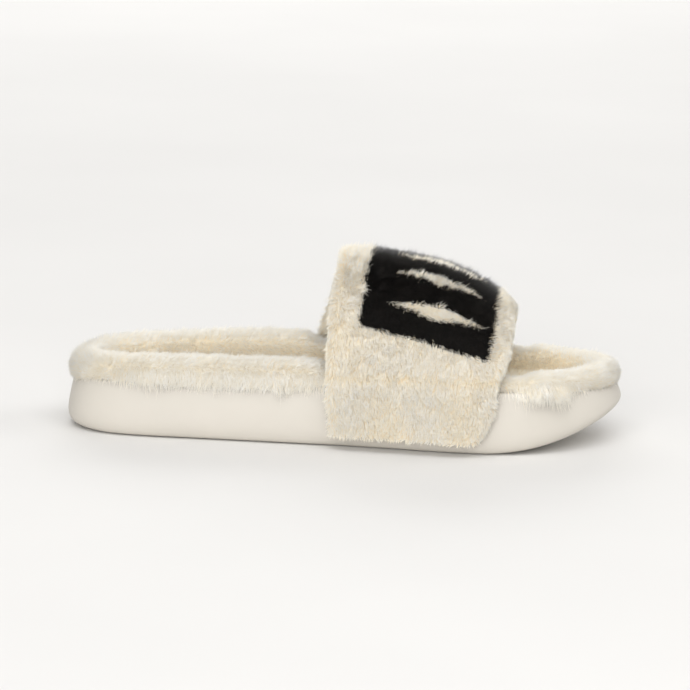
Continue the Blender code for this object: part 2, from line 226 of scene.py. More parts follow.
def rim(rise, share):
    """A height above the sole's top edge, raised at the arch, and lower at the toe and under the strap.

    share says how much of that is taken.
    """

    def height(x, y):
        arch = np.where(y > 0, ARCH_LIFT * np.exp(-(((x + 40 * MM) / (38 * MM)) ** 2)), 0)
        drop = np.where(y < 0, TOE_RIM_DROP[0], TOE_RIM_DROP[1])
        toe = drop * np.exp(-(((x - 104 * MM) / (22 * MM)) ** 2))
        return top_edge(x) + rise + share * (arch - toe - RIM_PRESS * strap_zone(x, y))

    return height


def under_strap(inset, narrowed):
    """An inset that grows to the narrowed one where the strap passes, and is the plain one elsewhere."""
    return lambda x, y: inset + (narrowed - inset) * strap_zone(x, y)


def ring(inset, height, steps=RING_STEPS):
    """One closed row of points: the outline moved inwards, at the height given there."""
    angle = math.pi * np.arange(2 * steps) / steps
    edge = outline(angle)
    distance = inset(*edge.T) if callable(inset) else np.full(len(edge), inset)
    plan = edge - outward(angle) * distance[:, None]
    return np.column_stack([plan, height(plan[:, 0], plan[:, 1])])


# Meshes and pieces


def add_object(name, data):
    made = bpy.data.objects.new(name, data)
    bpy.context.scene.collection.objects.link(made)
    return made


def add_mesh(name, points, faces, finishes, slots=None, sharp=None):
    """A mesh as an object. slots gives each face's material, and sharp an angle that keeps edges crisp."""
    mesh = bpy.data.meshes.new(name)
    mesh.from_pydata(points, [], faces)
    for finish in finishes:
        mesh.materials.append(finish)
    if slots is not None:
        mesh.polygons.foreach_set("material_index", np.asarray(slots, np.int32))
    shape = bmesh.new()
    shape.from_mesh(mesh)
    bmesh.ops.recalc_face_normals(shape, faces=shape.faces)
    shape.to_mesh(mesh)
    shape.free()
    mesh.shade_smooth()
    if sharp:
        mesh.set_sharp_from_angle(angle=math.radians(sharp))
    return add_object(name, mesh)


def ride(piece, node):
    """The piece rides on the slipper and stands for that CAD node, which is hidden."""
    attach(piece, "root")
    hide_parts(node)


def ring_faces(rows, count):
    """The faces between rings of count points each."""
    faces = []
    for low in range(0, (rows - 1) * count, count):
        for i in range(count):
            j = (i + 1) % count
            faces.append((low + i, low + j, low + count + j, low + count + i))
    return faces


def fill(points, start, count, across):
    """Points and faces that close one ring from side to side."""
    steps = count // 2
    shares = np.arange(1, across) / across
    one = points[start + 1 : start + steps]
    other = points[start + steps + 1 : start + count][::-1]
    between = one[:, None] + (other - one)[:, None] * shares[None, :, None]
    lanes = np.empty((steps + 1, across + 1), int)
    lanes[0], lanes[-1] = start, start + steps
    lanes[1:-1, 0] = start + np.arange(1, steps)
    lanes[1:-1, -1] = start + count - np.arange(1, steps)
    lanes[1:-1, 1:-1] = len(points) + np.arange((steps - 1) * (across - 1)).reshape(steps - 1, -1)
    faces = []
    for i in range(steps):
        for j in range(across):
            corners = (lanes[i, j], lanes[i + 1, j], lanes[i + 1, j + 1], lanes[i, j + 1])
            faces.append(tuple(int(corner) for corner in dict.fromkeys(corners)))
    return np.concatenate([points, between.reshape(-1, 3)]), faces


def loft(name, rows, finishes, across=(1, 1), sharp=None):
    """A closed solid through rings, with its first and its last one filled in."""
    count = len(rows[0])
    points = np.concatenate(rows)
    faces = ring_faces(len(rows), count)
    for start, lanes in ((0, across[0]), ((len(rows) - 1) * count, across[1])):
        points, more = fill(points, start, count, lanes)
        faces += more
    return add_mesh(name, points, faces, finishes, sharp=sharp)


def grid_faces(rows, columns):
    """The faces of an open grid of points, row after row."""
    at = np.arange(rows * columns).reshape(rows, columns)
    corners = np.stack([at[:-1, :-1], at[:-1, 1:], at[1:, 1:], at[1:, :-1]], axis=-1)
    return corners.reshape(-1, 4)


def slab_faces(rows, columns):
    """The faces of two grids of points, one after the other, and of the sides between them."""
    one = grid_faces(rows, columns)
    other = one[:, ::-1] + rows * columns
    at = np.arange(rows * columns).reshape(rows, columns)
    edge = np.concatenate([at[0], at[1:, -1], at[-1, -2::-1], at[-2:0:-1, 0]])
    following = np.roll(edge, -1)
    side = np.stack([following, edge, edge + rows * columns, following + rows * columns], axis=-1)
    return np.concatenate([one, other, side]).tolist()


def triangles_of(faces):
    """Each face cut into triangles, as an array."""
    return np.array([(face[0], face[j], face[j + 1]) for face in faces for j in range(1, len(face) - 1)])


def normals_of(points, triangles):
    a, b, c = (points[triangles[:, k]] for k in range(3))
    across = np.cross(b - a, c - a)
    total = np.zeros_like(points)
    for k in range(3):
        np.add.at(total, triangles[:, k], across)
    return unit(total)


def carve(piece, cutter):
    """Cuts the cutter out of the piece for good."""
    modifier = piece.modifiers.new("carve", "BOOLEAN")
    modifier.object = cutter
    bpy.context.view_layer.update()
    whole = piece.evaluated_get(bpy.context.evaluated_depsgraph_get())
    mesh = bpy.data.meshes.new_from_object(whole)
    piece.modifiers.clear()
    piece.data = mesh
    bpy.data.objects.remove(cutter)


# Materials


class Finish:
    """A Principled material, with helpers for the nodes of its pattern."""

    def __init__(self, name, colour, roughness, **values):
        self.colour = colour
        self.material = bpy.data.materials.new(name)
        self.material.use_nodes = True
        self.tree = self.material.node_tree
        self.shader = self.tree.nodes["Principled BSDF"]
        self.shader.inputs["Base Color"].default_value = (*colour, 1)
        self.shader.inputs["Roughness"].default_value = roughness
        for socket, value in values.items():
            self.shader.inputs[socket.replace("_", " ")].default_value = value

    def node(self, kind, links=(), **settings):
        """A node with its settings, and each named input either set or linked."""
        made = self.tree.nodes.new(kind)
        for setting, value in settings.items():
            setattr(made, setting, value)
        for socket, source in dict(links).items():
            if isinstance(source, bpy.types.NodeSocket):
                self.tree.links.new(source, made.inputs[socket])
            else:
                made.inputs[socket].default_value = source
        return made

    def place(self, scale=(1, 1, 1), turn=(0, 0, 0)):
        """Object coordinates, turned and scaled."""
        source = self.node("ShaderNodeTexCoord").outputs["Object"]
        links = {"Vector": source, "Rotation": turn, "Scale": scale}
        return self.node("ShaderNodeMapping", links).outputs["Vector"]

    def noise(self, scale, detail, where=None):
        links = {"Vector": where or self.place(), "Scale": scale, "Detail": detail}
        return self.node("ShaderNodeTexNoise", links).outputs["Fac"]

    def spread(self, noise, low, high):
        """The middle of the noise's range, turned into low to high."""
        links = {"Value": noise, "From Min": 0.3, "From Max": 0.7, "To Min": low, "To Max": high}
        return self.node("ShaderNodeMapRange", links).outputs["Result"]

    def shade(self, pattern, dark, light, start=0.3, end=0.7):
        """Multiplies the base colour by dark where the pattern is at its start, and by light at its end."""
        ramp = self.node("ShaderNodeValToRGB", {"Fac": pattern})
        for element, place, factor in zip(ramp.color_ramp.elements, (start, end), (dark, light)):
            element.position = place
            element.color = (*(min(1.0, channel * factor) for channel in self.colour), 1)
        self.set("Base Color", ramp.outputs["Color"])

    def maths(self, operation, a, b):
        return self.node("ShaderNodeMath", {0: a, 1: b}, operation=operation).outputs["Value"]

    def bump(self, height, distance, strength):
        links = {"Height": height, "Distance": distance, "Strength": strength}
        earlier = self.shader.inputs["Normal"].links
        if earlier:
            links["Normal"] = earlier[0].from_socket
        self.set("Normal", self.node("ShaderNodeBump", links).outputs["Normal"])

    def set(self, socket, source):
        self.tree.links.new(source, self.shader.inputs[socket])


def moulded_foam():
    """Matt EVA foam with a fine grain and faint clouds."""
    values = {"Specular_IOR_Level": 0.35, "Coat_Weight": 0.03, "Coat_Roughness": 0.5}
    finish = Finish("moulded_eva", (0.60, 0.564, 0.503), 0.5, **values)
    finish.shade(finish.noise(35, 4), 0.975, 1.02)
    finish.set("Roughness", finish.spread(finish.noise(160, 3), 0.44, 0.56))
    finish.bump(finish.noise(2600, 2), 0.00003, 0.35)
    finish.bump(finish.noise(90, 2), 0.0002, 0.25)
    return finish.material


def fibre_board():
    finish = Finish("pressed_fibre_board", (0.42, 0.31, 0.2), 0.8)
    fleck = finish.noise(900, 5, finish.place(scale=(0.25, 1, 1)))
    finish.shade(fleck, 0.75, 1.25)
    finish.bump(fleck, 0.0002, 0.6)
    return finish.material


def open_cell_foam():
    finish = Finish("open_cell_foam", (0.85, 0.79, 0.64), 0.9)
    where = finish.place()
    cells = finish.node("ShaderNodeTexVoronoi", {"Vector": where, "Scale": 1100.0}).outputs["Distance"]
    finish.shade(cells, 0.8, 1, start=0.1, end=0.6)
    finish.bump(cells, 0.0004, 0.8)
    return finish.material


def woven(name, colour, pitch, turn=0.0, roughness=0.8, depth=0.00015, **values):
    """A cloth of crossing ribs at that pitch."""
    finish = Finish(name, colour, roughness, **values)
    ribs = []
    for direction in ("X", "Y"):
        where = finish.place(turn=(0, 0, turn))
        links = {"Vector": where, "Scale": 1 / pitch / math.tau * 2, "Distortion": 0.6}
        wave = finish.node("ShaderNodeTexWave", links, wave_type="BANDS", bands_direction=direction)
        ribs.append(wave.outputs["Fac"])
    weave = finish.maths("MULTIPLY", *ribs)
    # Darker where the ribs don't cross, and in random mottles.
    rib_dips_and_mottle = finish.maths("ADD", finish.maths("MULTIPLY", weave, 0.5), finish.noise(250, 4))
    finish.shade(rib_dips_and_mottle, 0.82, 1.05, end=0.95)
    finish.bump(weave, depth, 0.8)
    return finish.material


def twisted_thread():
    finish = Finish("twisted_thread", (0.82, 0.76, 0.63), 0.55, Sheen_Weight=0.3)
    links = {"Vector": finish.place(turn=(0.6, 0.5, 0.8)), "Scale": 900.0, "Distortion": 0.4}
    twist = finish.node("ShaderNodeTexWave", links, wave_type="BANDS").outputs["Fac"]
    finish.shade(twist, 0.8, 1.05, start=0.2, end=0.8)
    finish.bump(twist, 0.0001, 0.7)
    return finish.material


def pile_backing(name, colour):
    """The knitted ground that the pile is rooted in."""
    finish = Finish(name, colour, 0.95)
    tuft = finish.noise(420, 4)
    finish.shade(tuft, 0.8, 1.1)
    finish.bump(tuft, 0.0008, 0.8)
    return finish.material


def pile_tones(name, tones, look):
    """Strand finishes: for each tone of the pile, its lower and its upper half."""
    return [
        Finish(f"{name}_{number}_{part}", colour, **look).material
        for number, tone in enumerate(tones, 1)
        for part, colour in zip(("root", "tip"), tone)
    ]


# The tones of the pile, each with its root and its tip. Each root is a little darker than its tip: painted
# shade deep in the pile.
CREAM_TONES = [
    ((0.94, 0.87, 0.73), (0.96, 0.92, 0.825)),
    ((0.93, 0.85, 0.69), (0.95, 0.90, 0.79)),
    ((0.95, 0.89, 0.77), (0.97, 0.94, 0.865)),
    ((1.0, 0.83, 0.57), (1.0, 0.91, 0.72)),
]
CREAM_GROUND = (0.94, 0.83, 0.65)
BLACK_TONES = [
    ((0.003, 0.002, 0.002), (0.008, 0.006, 0.005)),
    ((0.002, 0.002, 0.002), (0.006, 0.005, 0.004)),
    ((0.004, 0.003, 0.003), (0.011, 0.009, 0.008)),
    ((0.004, 0.003, 0.002), (0.011, 0.009, 0.007)),
]
BLACK_GROUND = (0.006, 0.005, 0.004)
# The last tone is the warm one: painted warm shade in the footbed's valley and along the strap's parting,
# and a warm tone in random patches.
WARM_TONE = 3
CREAM_LOOK = {"roughness": 0.75, "Sheen_Weight": 0.15, "Sheen_Roughness": 0.5, "Specular_IOR_Level": 0.3}
BLACK_LOOK = {"roughness": 0.6, "Sheen_Weight": 1.0, "Sheen_Roughness": 0.25, "Specular_IOR_Level": 0.12}


# Pile: strands that grow out of a surface

LARGE_TUFT, SMALL_TUFT = 5.5 * MM, 2.0 * MM
TO_LARGE, TO_SMALL = 0.4, 0.6  # how much a strand's tip is drawn to its large and its small tuft's middle
MIDDLE = 0.55  # where a strand's middle ring is, from its root to its tip
STRAND_POINTS = 7  # two rings of three, and the tip


def hashed(cells, seed):
    """Three numbers between 0 and 1 for each whole-numbered cell, the same every time."""
    cells = cells.astype(np.int64).astype(np.uint64)
    mixed = cells[..., 0] * np.uint64(73856093)
    mixed = mixed ^ (cells[..., 1] * np.uint64(19349663))
    mixed = mixed ^ (cells[..., 2] * np.uint64(83492791)) ^ np.uint64(seed * 2654435761)
    numbers = []
    for _ in range(3):
        for shift, factor in ((33, 0xFF51AFD7ED558CCD), (29, 0xC4CEB9FE1A85EC53)):
            mixed = (mixed ^ (mixed >> np.uint64(shift))) * np.uint64(factor)
        numbers.append((mixed >> np.uint64(40)).astype(float) / 2**24)
    return np.stack(numbers, axis=-1)


def tufts(points, size, seed):
    """The middle of the tuft nearest to each point, and three random numbers that belong to the tuft."""
    home = np.floor(points / size)
    nearest = np.full(len(points), np.inf)
    middle = np.zeros_like(points)
    luck = np.zeros_like(points)
    for step in itertools.product((-1, 0, 1), repeat=3):
        cell = home + step
        place = (cell + hashed(cell, seed)) * size
        distance = ((points - place) ** 2).sum(axis=1)
        closer = distance < nearest
        nearest[closer] = distance[closer]
        middle[closer] = place[closer]
        luck[closer] = hashed(cell[closer], seed + 1)
    return middle, luck


def drift(points, size, seed):
    """A slow wave from 0 to 1 over places, with humps about that size."""
    rng = np.random.default_rng(seed)
    total = np.zeros(len(points))
    for _ in range(5):
        direction = unit(rng.normal(size=3)) * math.tau / size / rng.uniform(1.2, 3)
        total += np.sin(points @ direction + rng.uniform(0, math.tau))
    return smooth(-1.5, 2.5, total)


class Surface:
    """A surface for pile to grow from, with what the pile does at each of its points."""

    def __init__(self, points, triangles, toward):
        self.points, self.triangles = points, triangles
        normals = normals_of(points, triangles)
        if np.sum(normals * toward) < 0:
            normals = -normals
        self.values = {"root": points, "normal": normals, "shade": normals}

    def scatter(self, density, rng):
        """Random places on the surface, density to a square metre, with every value there."""
        a, b, c = (self.points[self.triangles[:, k]] for k in range(3))
        areas = np.linalg.norm(np.cross(b - a, c - a), axis=1) / 2
        share = self.values["density"][self.triangles].mean(axis=1)
        total = np.cumsum(areas * share) * density
        count = int(total[-1])
        picks = np.searchsorted(total, (np.arange(count) + rng.random(count)) / count * total[-1])
        picks = np.minimum(picks, len(self.triangles) - 1)
        p, q = np.sqrt(rng.random(count)), rng.random(count)
        weights = np.stack([1 - p, p * (1 - q), p * q], axis=1)
        corners = self.triangles[picks]
        return {
            name: (value[corners] * (weights[..., None] if value.ndim == 2 else weights)).sum(axis=1)
            for name, value in self.values.items()
        }


def grow(places, rng, seed, pull=0.3, wild=(0.42, 0.22, 0.10), uneven=0.2):
    """The strands' paths, each through three points, their tones and their shading.

    pull says how far a tip goes towards its tufts' middles, wild how far large tufts, small tufts and
    single strands stray, and uneven how much the tufts' lengths vary.
    """
    root = places["root"]
    count = len(root)
    start, end = unit(places["start"]), unit(places["end"])
    large, large_luck = tufts(root, LARGE_TUFT, seed)
    small, small_luck = tufts(root, SMALL_TUFT, seed + 5)
    stray = (large_luck - 0.5) * wild[0] + (small_luck - 0.5) * wild[1] + rng.normal(0, wild[2], (count, 3))
    start, end = unit(start + 0.5 * stray), unit(end + 1.4 * stray)
    guard = rng.random(count) < GUARD_SHARE
    end = unit(end + 0.9 * places["normal"] * guard[:, None])
    reach = places["length"] * (1 + uneven * (large_luck[:, 0] + small_luck[:, 1] - 1))
    reach = reach * rng.uniform(0.82, 1.08, count) * (1 + 0.22 * guard)
    gather = (large - root) * TO_LARGE + (small - root) * TO_SMALL
    gather -= places["normal"] * (gather * places["normal"]).sum(axis=1, keepdims=True)
    steps = np.array([0, MIDDLE, 1])[None, :, None]
    bent = start[:, None] * (steps - steps**2 / 2) + end[:, None] * steps**2 / 2
    paths = root[:, None] + reach[:, None, None] * bent + gather[:, None] * pull * steps**2
    # The factor is just under 3, so that the plain tones are 0 to 2.
    tone = np.floor((0.6 * large_luck[:, 2] + 0.4 * rng.random(count)) * 2.999)
    # The warm tone goes where this share says: random warm patches, and painted warm shade in the hollows.
    tone[rng.random(count) < places["warmth"]] = WARM_TONE
    return paths, tone.astype(int), unit(places["shade"])


def strand_mesh(name, paths, tones, shading, finishes):
    """Tapering three-sided strands, each a closed solid with a root half and a tip half, as one mesh.

    The strands are shaded mostly with the normals of the surface they grow from, as fine fibres look.
    """
    count = len(paths)
    ahead = paths[:, 2] - paths[:, 0]
    side = unit(np.cross(ahead, [0.3, 0.5, 0.7]))
    other = unit(np.cross(ahead, side))
    turns = np.arange(3) * math.tau / 3
    around = side[:, None] * np.cos(turns)[:, None] + other[:, None] * np.sin(turns)[:, None]
    radii = np.array([1, 0.8]) * PILE_WIDTH / 2
    rings = paths[:, :2, None] + around[:, None] * radii[:, None, None]
    points = np.concatenate([rings.reshape(count, 6, 3), paths[:, 2:]], axis=1)

    faces = [(2, 1, 0)]
    faces += [(k, (k + 1) % 3, 3 + (k + 1) % 3, 3 + k) for k in range(3)]
    faces += [(3 + k, 3 + (k + 1) % 3, 6) for k in range(3)]
    sections = np.array([0] * 4 + [1] * 3)
    pattern = np.concatenate(faces)
    sizes = np.array([len(face) for face in faces])
    corners = (pattern[None] + STRAND_POINTS * np.arange(count)[:, None]).ravel()
    totals = np.tile(sizes, count)
    starts = np.concatenate([[0], np.cumsum(totals)[:-1]])

    mesh = bpy.data.meshes.new(name)
    mesh.vertices.add(count * STRAND_POINTS)
    mesh.vertices.foreach_set("co", points.astype(np.float32).ravel())
    mesh.loops.add(len(corners))
    mesh.loops.foreach_set("vertex_index", corners.astype(np.int32))
    mesh.polygons.add(len(totals))
    mesh.polygons.foreach_set("loop_start", starts.astype(np.int32))
    for finish in finishes:
        mesh.materials.append(finish)
    # The root half takes the darker root colour: painted shade deep in the pile.
    slots = 2 * tones[:, None] + sections[None]
    mesh.polygons.foreach_set("material_index", slots.astype(np.int32).ravel())
    mesh.update(calc_edges=True)
    radial = np.concatenate([np.tile(around, (1, 2, 1)), unit(paths[:, 2:] - paths[:, 1:2])], axis=1)
    normals = unit(shading[:, None] * (1 - OWN_NORMAL) + radial * OWN_NORMAL)
    mesh.normals_split_custom_set_from_vertices(normals.reshape(-1, 3))
    return add_object(name, mesh)


def strand_pieces(name, grown, finishes, node):
    """The strands as pieces of a limited size, cut from heel to toe."""
    paths, tones, shading = grown
    order = np.argsort(paths[:, 0, 0], kind="stable")
    parts = max(1, math.ceil(len(order) / PIECE_STRANDS))
    for number, chosen in enumerate(np.array_split(order, parts), 1):
        own = f"{name}_{number}" if parts > 1 else name
        piece = strand_mesh(own, paths[chosen], tones[chosen], shading[chosen], finishes)
        ride(piece, node)


# The sole


# The sole's side from its bottom up: the inset in mm, and the share of the height there
WALL = [(9, 0), (4, 0.01), (1.6, 0.05), (0.4, 0.14), (0, 0.28), (0.5, 0.5), (1.5, 0.75)]
WALL += [(2.4, 0.93), (3.1, 0.985), (4, 1)]


def make_sole():
    wall = [ring(inset * MM, wall_height(share)) for inset, share in WALL]
    rows = list(curve_through(wall, 4))
    rows.append(ring(RECESS_INSET - 0.5 * MM, above_edge(0)))
    rows.append(ring(RECESS_INSET, above_floor(1 * MM)))
    rows.append(ring(RECESS_INSET + 1 * MM, above_floor(0)))
    foam = moulded_foam()
    sole = loft("sole", rows, [foam], sharp=50)
    carve(sole, make_tread_cutter(foam))
    sole.data.set_sharp_from_angle(angle=math.radians(40))
    ride(sole, "sole_unit")


def make_tread_cutter(foam):
    """Chevron grooves under the heel and the ball of the foot, short of the sole's edge."""
    pitch, width, depth, edge, bend = 9 * MM, 2.4 * MM, 1.6 * MM, 10 * MM, 6 * MM
    first_heel, first_ball, grooves = -108 * MM, 8 * MM, 7
    centres = [first + pitch * i for first in (first_heel, first_ball) for i in range(grooves)]
    points, faces = [], []
    for x in centres:
        start = len(points)
        reach = float(half_width(x - bend)) - edge
        for y, shift in ((-reach, -bend), (0, 0), (reach, -bend)):
            for dx in (-1, 1):
                for z, spread in ((-2 * MM, 1.6), (depth, 0.7)):
                    half = dx * width / 2 * spread
                    points.append((x + shift + half, float(centre_line(x)) + y, z))
        for a in (start, start + 4):
            faces += [(a, a + 4, a + 5, a + 1), (a + 2, a + 3, a + 7, a + 6)]
            faces += [(a, a + 2, a + 6, a + 4), (a + 1, a + 5, a + 7, a + 3)]
        faces += [(start, start + 1, start + 3, start + 2), (start + 8, start + 10, start + 11, start + 9)]
    return add_mesh("tread_cutter", points, faces, [foam])


# The footbed

FOAM_LOW = GAP + BOARD_THICKNESS + GAP
FOAM_HIGH = FOAM_LOW + FOAM_CENTRE_THICKNESS
FOAM_SIDE = RECESS_INSET + 0.8 * MM


def make_insole():
    rows = [
        ring(inset * MM, above_floor(rise * MM), 96)
        for inset, rise in ((9.4, 0.3), (9.0, 0.5), (9.0, 1.5), (9.4, 1.7))
    ]
    ride(loft("insole", rows, [fibre_board()], sharp=60), "insole_board")


def make_cushion():
    side, high, low = FOAM_SIDE, FOAM_HIGH, FOAM_RIM_HEIGHT
    corners = [
        (side + 1 * MM, above_floor(FOAM_LOW)),
        (side + 0.3 * MM, above_floor(FOAM_LOW + 0.3 * MM)),
        (side, above_floor(FOAM_LOW + 1 * MM)),
        (side, above_edge(-1 * MM)),
        (side + 0.4 * MM, rim(low - 2 * MM, 0.4)),
        (side + 2.5 * MM, rim(low, 0.7)),
        (side + 5.5 * MM, rim(low - 2 * MM, 0.6)),
        (side + 9 * MM, above_floor(high + 4 * MM)),
        (side + 15 * MM, above_floor(high + 0.5 * MM)),
    ]
    cushion = loft("footbed_cushion", [ring(*corner) for corner in corners], [open_cell_foam()])
    ride(cushion, "footbed_foam")


def footbed_ground():
    """Rows of the pile's ground, from its hem on the sole's edge over the rim to the valley."""
    high = FOAM_HIGH
    corners = [
        (under_strap(4.3 * MM, 6.9 * MM), above_edge(0.4 * MM)),
        (under_strap(3.2 * MM, 6.8 * MM), above_edge(1.2 * MM)),
        (under_strap(3.2 * MM, 6.8 * MM), rim(3.4 * MM, 0.3)),
        (under_strap(4.3 * MM, 7.6 * MM), rim(6.3 * MM, 0.55)),
        (under_strap(7.2 * MM, 9.2 * MM), rim(8.2 * MM, 0.72)),
        (under_strap(10.8 * MM, 11.2 * MM), rim(8.2 * MM, 0.72)),
        (14.4 * MM, rim(6.4 * MM, 0.62)),
        (17.9 * MM, above_floor(high + 7.0 * MM)),
        (21.0 * MM, above_floor(high + 4.2 * MM)),
        (24.8 * MM, above_floor(high + 3.2 * MM)),
    ]
    return curve_through([ring(*corner) for corner in corners], 4)


def make_footbed():
    top = footbed_ground()
    under = [
        (FOAM_SIDE + 15 * MM, above_floor(FOAM_HIGH + 1.1 * MM)),
        (FOAM_SIDE + 9 * MM, above_floor(FOAM_HIGH + 4.9 * MM)),
        (FOAM_SIDE + 5.5 * MM, rim(4.0 * MM, 0.6)),
        (FOAM_SIDE + 2.5 * MM, rim(6.1 * MM, 0.7)),
        (FOAM_SIDE - 0.9 * MM, rim(3.9 * MM, 0.4)),
        (FOAM_SIDE - 0.5 * MM, above_edge(1.6 * MM)),
        (under_strap(5 * MM, 7.1 * MM), above_edge(0.4 * MM)),
    ]
    rows = [ring(*corner) for corner in under] + list(top)
    ground = pile_backing("cream_pile_ground", CREAM_GROUND)
    ride(loft("footbed_ground", rows, [ground], across=(2, 16)), "footbed_fur")

    count = len(top[0])
    points, faces = fill(np.concatenate(top), (len(top) - 1) * count, count, 16)
    triangles = triangles_of([*ring_faces(len(top), count), *faces])
    grow_footbed_pile(points, triangles, len(top), count)


PILE_DENSITY, FRINGE_DENSITY = 6.2e6, 4.6e6  # strands to a square metre


def grow_footbed_pile(points, triangles, rows, count):
    """Short dense pile all over the footbed, and a ragged fringe that hangs over the sole's edge."""
    row = np.full(len(points), rows - 1.0)
    row[: rows * count] = np.repeat(np.arange(rows), count)
    share = row / (rows - 1)  # from the hem to the valley
    angle = np.zeros(len(points))
    angle[: rows * count] = np.tile(math.pi * np.arange(count) / (count // 2), rows)
    away = np.zeros_like(points)
    away[:, :2] = outward(angle)
    away *= (1 - smooth(0.75, 1.0, share))[:, None]
    surface = Surface(points, triangles, UP)
    values = surface.values
    normal = values["normal"]

    x, y = points[:, 0], points[:, 1]
    hidden = strap_zone(x, y)
    hem = 1 - smooth(0.16, 0.42, share)
    inner = smooth(0.45, 0.8, share)
    ends = 1 - smooth(-116 * MM, -86 * MM, x) * (1 - smooth(98 * MM, 116 * MM, x))
    heel = 1 - smooth(-108 * MM, -88 * MM, x)
    toe, tip = smooth(70 * MM, 95 * MM, x), smooth(108 * MM, 122 * MM, x)

    # The pile lies to the toe and down. It droops at the hem, but is tucked in at the heel and the toe.
    lying = 0.55 * AHEAD - 0.45 * UP
    lying = lying - normal * (lying * normal).sum(axis=1, keepdims=True)
    over = normal * (0.95 - 0.3 * (1 - inner))[:, None] + lying * (1 + 0.5 * (1 - inner))[:, None]
    low = blend(away * 0.55 - UP * 1.1, normal * 0.8 + UP * 0.1, ends)
    values["start"] = normal + 0.35 * lying
    values["end"] = blend(over, low, hem)
    values["shade"] = blend(normal, away + 0.3 * UP, hem)
    long = 5.0 - 1.6 * toe - 0.7 * inner - 1.6 * hem * ends
    long += 1.0 * tip - 1.1 * inner * heel
    values["length"] = long * MM * (1 - 0.35 * hidden * (1 - inner))
    values["density"] = 1 - 0.45 * hidden * inner
    # Warm tone in random patches, and all over deep in the valley as painted warm shade.
    values["warmth"] = 0.1 * drift(points, 14 * MM, SEED + 2) + smooth(0.58, 0.80, share)
    rng = np.random.default_rng(SEED)
    finishes = pile_tones("cream_pile", CREAM_TONES, CREAM_LOOK)
    grown = grow(surface.scatter(PILE_DENSITY, rng), rng, SEED, pull=0.22, wild=(0.22, 0.17, 0.09))
    strand_pieces("footbed_pile", grown, finishes, "footbed_fur")

    # The fringe hangs from the hem. It is longest beside the toe, and ends before the heel and the tip.
    outer_toe = smooth(76 * MM, 92 * MM, x) * (y < 0)
    density = hem * (1 - 0.85 * hidden * (1 - outer_toe)) * (1 - ends)
    values["density"] = density * (1 + 0.5 * outer_toe)
    values["length"] = (7.6 + 2.6 * outer_toe) * (1 - 0.6 * ends) * MM
    values["start"] = away * 0.7 - UP * 0.5
    values["end"] = away * 0.08 - UP * 1.3
    grown = grow(surface.scatter(FRINGE_DENSITY, rng), rng, SEED + 20, pull=0.4, uneven=0.4)
    keep_off_wall(grown[0])
    strand_pieces("footbed_fringe", grown, finishes, "footbed_fur")


def keep_off_wall(paths):
    """Moves strands that would run into the sole's side out to lie on it."""
    insets, shares = np.array(WALL).T
    x = np.clip(paths[..., 0], -HALF_LENGTH, HALF_LENGTH)
    share = (paths[..., 2] - bottom(x)) / (top_edge(x) - bottom(x))
    angle = np.arccos(-x / HALF_LENGTH)
    angle = np.where(paths[..., 1] < centre_line(x), angle, math.tau - angle)
    for _ in range(3):
        # The outline's point nearest to each strand's point, found by sliding along the outline.
        edge, normal = outline(angle), outward(angle)
        along_edge = np.stack([-normal[..., 1], normal[..., 0]], axis=-1)
        ahead = outline(angle + 0.01) - outline(angle - 0.01)
        rate = (ahead * along_edge).sum(axis=-1) / 0.02
        slip = ((paths[..., :2] - edge) * along_edge).sum(axis=-1)
        angle = angle + np.clip(slip / np.where(np.abs(rate) < 1e-3, 1e-3, rate), -0.2, 0.2)
    edge, normal = outline(angle), outward(angle)
    inset = ((edge - paths[..., :2]) * normal).sum(axis=-1)
    wall = np.interp(share, shares, insets * MM) - GAP
    push = np.where((share < 1) & (inset > wall), inset - wall, 0)
    paths[..., :2] += normal * push[..., None]


def make_edge_stitch(thread):
    """The overlock thread in the channel under the plush's edge: a cord that dips between stitches."""
    dips, around = 360, 6
    steps = dips * 3
    angle = math.tau * np.arange(steps) / steps
    swing = np.cos(dips * angle)
    rows = []
    for turn in np.arange(around) * math.tau / around:
        inset = 7.35 * MM + 0.25 * MM * np.cos(turn) + 0.1 * MM * swing
        plan = outline(angle) - outward(angle) * inset[:, None]
        rise = 0.75 * MM + 0.3 * MM * np.sin(turn) + 0.1 * MM * swing
        rows.append(np.column_stack([plan, top_edge(plan[:, 0]) + rise]))
    # The ring after the last one is the first one again.
    faces = (np.array(ring_faces(around + 1, steps)) % (around * steps)).tolist()
    overlock = add_mesh("footbed_overlock", np.concatenate(rows), faces, [thread])
    ride(overlock, "footbed_edge_stitch")


# The strap: u runs from its rear to its front edge, v from -1 at the outer side's lower edge over the
# instep to 1 at the inner side's lower edge, and w out from the inner face.

STRAP_AXIS = 30 * MM * UP
STRAP_DENSITY = 7.4e6  # strands to a square metre
COMBED_DOWN, COMBED_AHEAD = 0.75, 0.30  # how far the pile is combed to the sole and to the toe


def strap_crown(x):
    """Height of the strap's inner face over the middle of the foot."""
    x = x / MM
    return STRAP_TOP - (0.12 * (x - 5) + 0.0086 * np.clip(x - 35, 0, None) ** 2) * MM


def strap_x(u, v):
    rear = along(REAR_EDGE, v) * MM
    front = along(FRONT_EDGE, np.abs(v)) * MM
    rise = np.clip((1 - np.abs(v)) / CORNER, 0, 1)
    front = front - CORNER_DEPTH * (1 - np.sqrt(1 - (1 - rise) ** 2))
    return rear + u * (front - rear)


def arch(turn):
    """The way out and the way up along the strap's arch, as shares of its half width and its height."""
    return [np.clip(share, 0, 1) ** ARCH_POWER for share in (np.cos(turn), np.sin(turn))]


